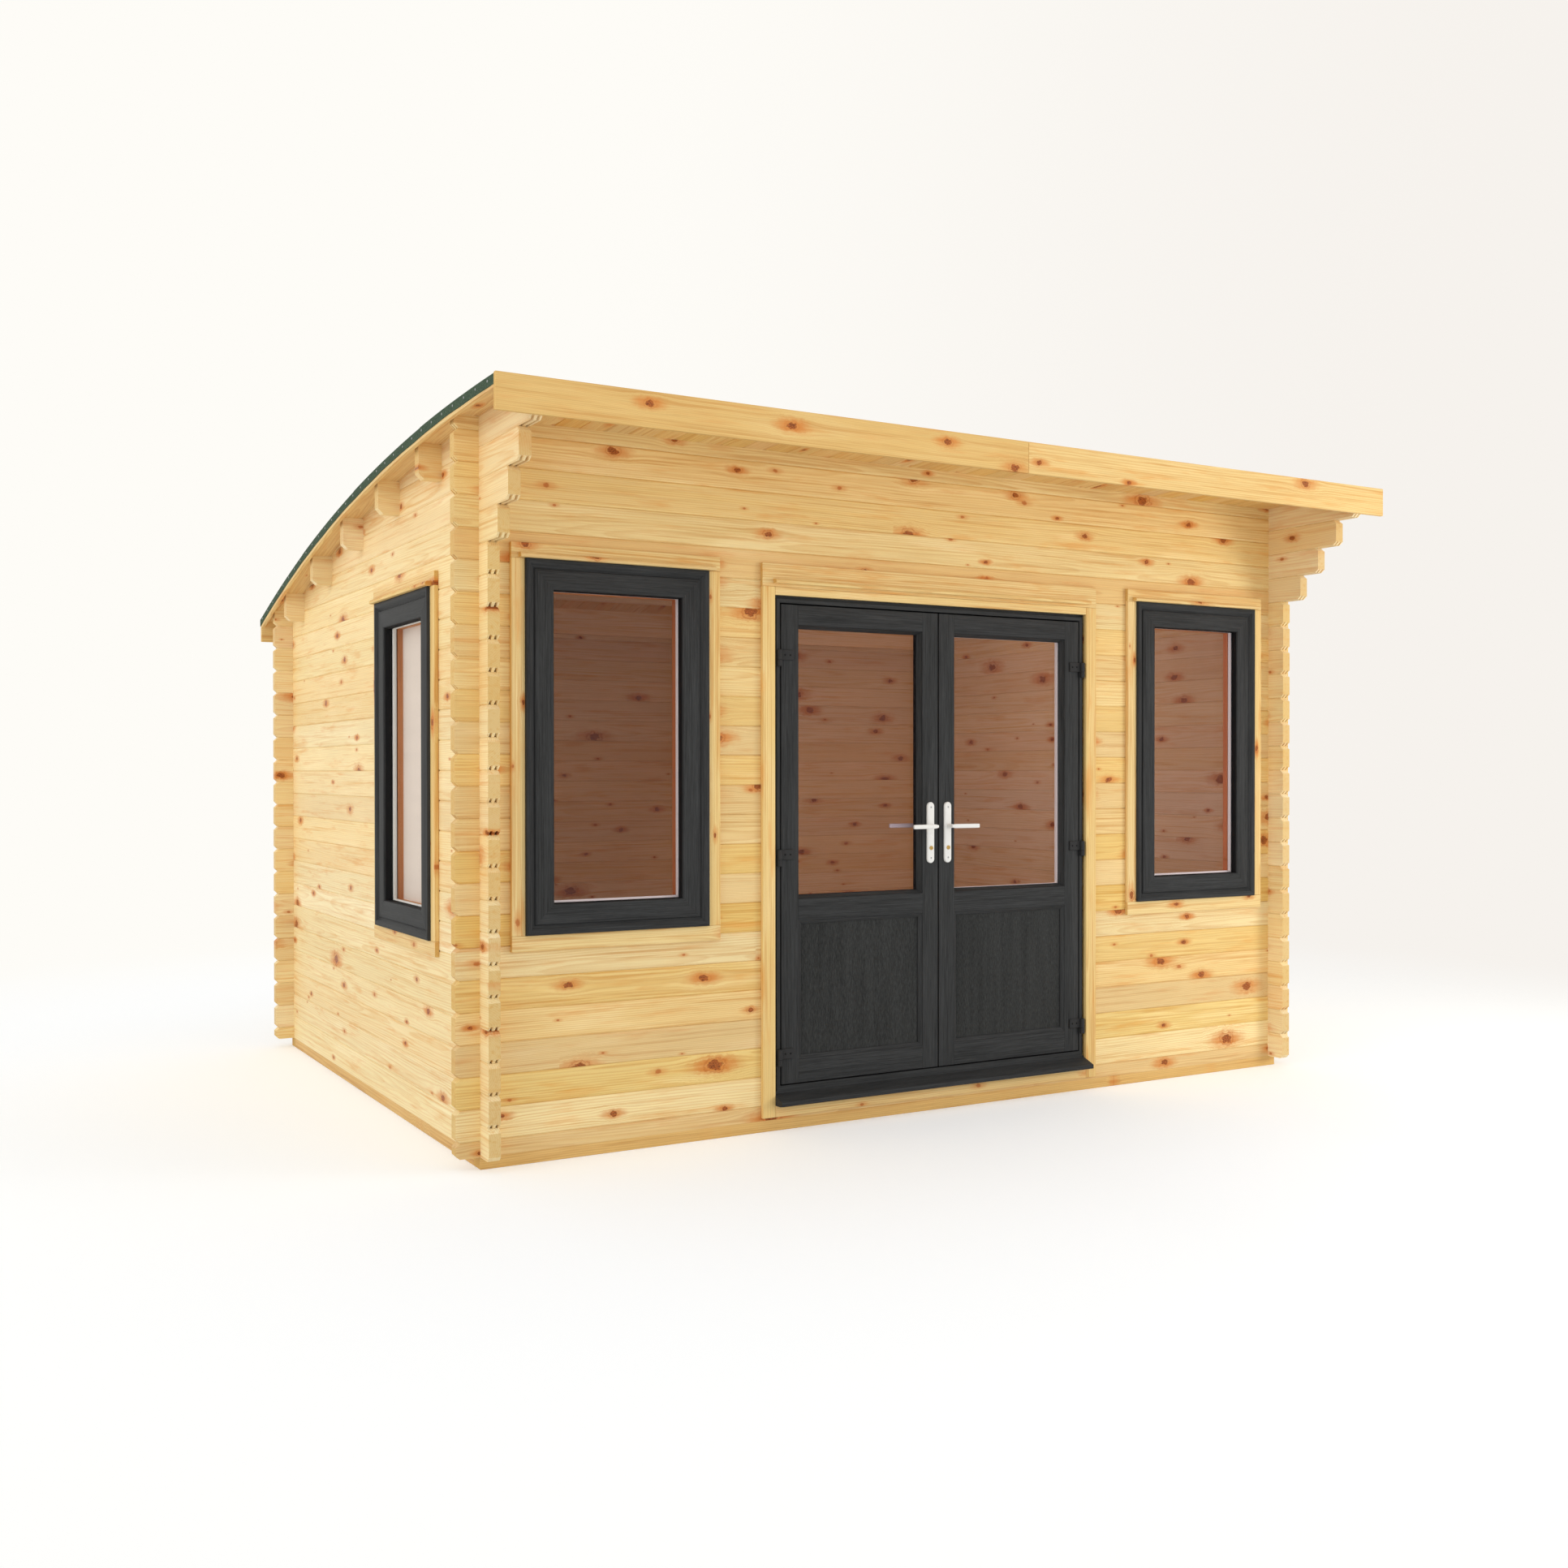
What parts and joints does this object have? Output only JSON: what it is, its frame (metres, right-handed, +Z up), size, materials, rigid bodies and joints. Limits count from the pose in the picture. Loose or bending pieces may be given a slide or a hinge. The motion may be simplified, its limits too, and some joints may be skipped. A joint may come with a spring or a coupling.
{
  "type": "log cabin",
  "caption": "Small garden log cabin of interlocking pine logs with a curved felt roof, glazed double doors that open outwards, and fixed windows in a plain trim.",
  "frame": {"origin": "middle of the footprint of the whole cabin, on the ground", "axes": "+X to the right as seen from the front, -Y out of the front wall, +Z up"},
  "size_m": [4.208, 3.585, 2.689],
  "materials": {
    "pine": "planed, untreated",
    "pine_trim": "planed, untreated",
    "treated_timber": "sawn, treated",
    "felt": "mineral granules",
    "anthracite": "satin with a fine wood grain",
    "glazing": "clear",
    "hinge_metal": "satin",
    "white_metal": "satin"
  },
  "bodies": {
    "cabin": {"floor_bearers": "treated_timber", "floor_boards": "pine", "front_wall_left": "pine", "front_wall_right": "pine", "front_wall_head": "pine", "front_wall_sill": "pine", "back_wall": "pine", "left_wall": "pine", "right_wall": "pine", "left_gable": "pine", "right_gable": "pine", "purlin_1": "pine", "purlin_2": "pine", "purlin_3": "pine", "purlin_4": "pine", "purlin_5": "pine", "roof_boards": "pine", "roof_edge_trims": "pine", "roof_felt": "felt", "front_fascia_left": "pine_trim", "front_fascia_right": "pine_trim", "rear_fascia": "pine_trim", "front_left_window_frame": "anthracite", "front_left_window_glass": "glazing", "front_left_window_trim": "pine_trim", "front_right_window_frame": "anthracite", "front_right_window_glass": "glazing", "front_right_window_trim": "pine_trim", "side_window_frame": "anthracite", "side_window_glass": "glazing", "side_window_trim": "pine_trim", "door_frame": "anthracite", "door_cill": "anthracite", "door_trim": "pine_trim", "door_hinge_knuckles": "hinge_metal"},
    "left_door": {"left_leaf_frame": "anthracite", "left_leaf_glass": "glazing", "left_leaf_panel": "anthracite", "left_hinge_flags": "hinge_metal", "left_handle_plates": "white_metal"},
    "left_handle": {"left_lever": "white_metal"},
    "right_door": {"right_leaf_frame": "anthracite", "right_leaf_glass": "glazing", "right_leaf_panel": "anthracite", "right_hinge_flags": "hinge_metal", "right_handle_plates": "white_metal"},
    "right_handle": {"right_lever": "white_metal"}
  },
  "joints": [
    {"name": "left_door_hinge", "type": "hinge", "parent": "cabin", "child": "left_door", "pos_m": [-0.768, -1.2868, 1.069], "axis": [0, 0, -1], "range_deg": [0, 95]},
    {"name": "left_lever_turn", "type": "hinge", "parent": "left_door", "child": "left_handle", "pos_m": [-0.0435, -1.2465, 1.181], "axis": [0, -1, 0], "range_deg": [0, 40], "stiffness_Nm_per_rad": 1.2, "springref_deg": -20.05},
    {"name": "right_door_hinge", "type": "hinge", "parent": "cabin", "child": "right_door", "pos_m": [0.768, -1.2868, 1.069], "axis": [0, 0, 1], "range_deg": [0, 95]},
    {"name": "right_lever_turn", "type": "hinge", "parent": "right_door", "child": "right_handle", "pos_m": [0.0435, -1.2465, 1.181], "axis": [0, 1, 0], "range_deg": [0, 40], "stiffness_Nm_per_rad": 1.2, "springref_deg": -20.05}
  ]
}
